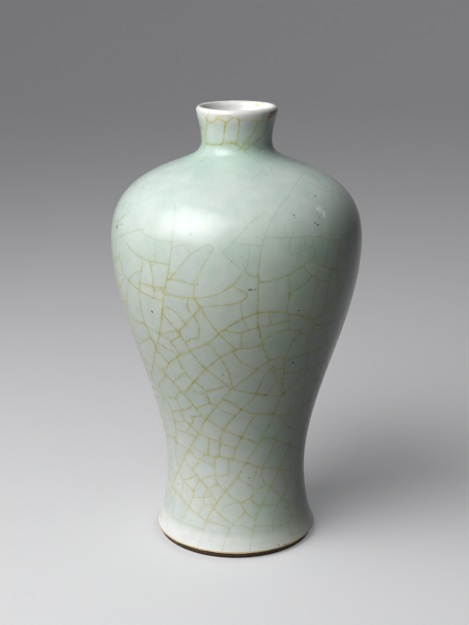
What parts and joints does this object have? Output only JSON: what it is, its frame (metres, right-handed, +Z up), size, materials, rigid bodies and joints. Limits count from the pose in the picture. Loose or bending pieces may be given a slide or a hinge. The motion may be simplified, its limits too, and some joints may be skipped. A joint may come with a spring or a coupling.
{
  "type": "meiping vase",
  "caption": "High-shouldered ceramic vase with a small flared mouth, narrow waist, spreading foot, pale green crackled glaze and a bare brown foot ring; it holds a flowering branch.",
  "frame": {"origin": "centre of the foot ring, on the surface that the vase stands on", "axes": "+Z up along the axis of the vase, towards its mouth; -Y faces the viewer of the picture"},
  "size_m": [0.1124, 0.1124, 0.2],
  "materials": {
    "clay": "fired stoneware, bare, matt",
    "slip": "fired slip, matt",
    "crackled_glaze": "glossy celadon glaze with golden stained crackle",
    "plain_glaze": "glossy pale glaze",
    "iron_wash": "dark brown iron wash, matt"
  },
  "bodies": {
    "root": {"lower_body": "clay", "upper_body": "clay", "neck_and_mouth": "clay", "body_luting_slip": "slip", "neck_luting_slip": "slip", "outer_glaze": "crackled_glaze", "inner_glaze": "plain_glaze", "base_glaze": "plain_glaze", "foot_wash": "iron_wash"}
  },
  "joints": []
}
